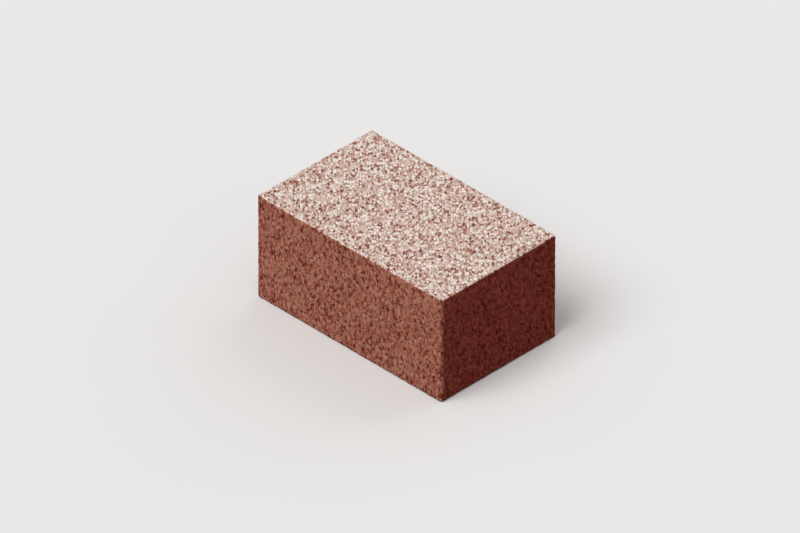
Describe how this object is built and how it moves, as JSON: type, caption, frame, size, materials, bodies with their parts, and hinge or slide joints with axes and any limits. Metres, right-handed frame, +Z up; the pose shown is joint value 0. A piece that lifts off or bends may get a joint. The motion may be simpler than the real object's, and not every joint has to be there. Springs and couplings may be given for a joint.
{
  "type": "levelling block",
  "caption": "Solid rectangular masonry block of low course height for levelling a wall, with coarse speckled faces and slightly rounded arrises.",
  "frame": {"origin": "centre of the lower bed face, on the surface that the block lies on", "axes": "+X along the block's length, which runs along the wall; +Y across its width; +Z up, through the height of the course"},
  "size_m": [0.24, 0.15, 0.115],
  "materials": {
    "block": "matt, coarse pressed aggregate surface: pale cream grains speckled with red-brown ones, browner on the upright faces"
  },
  "bodies": {
    "root": {"levelling_block": "block"}
  },
  "joints": []
}
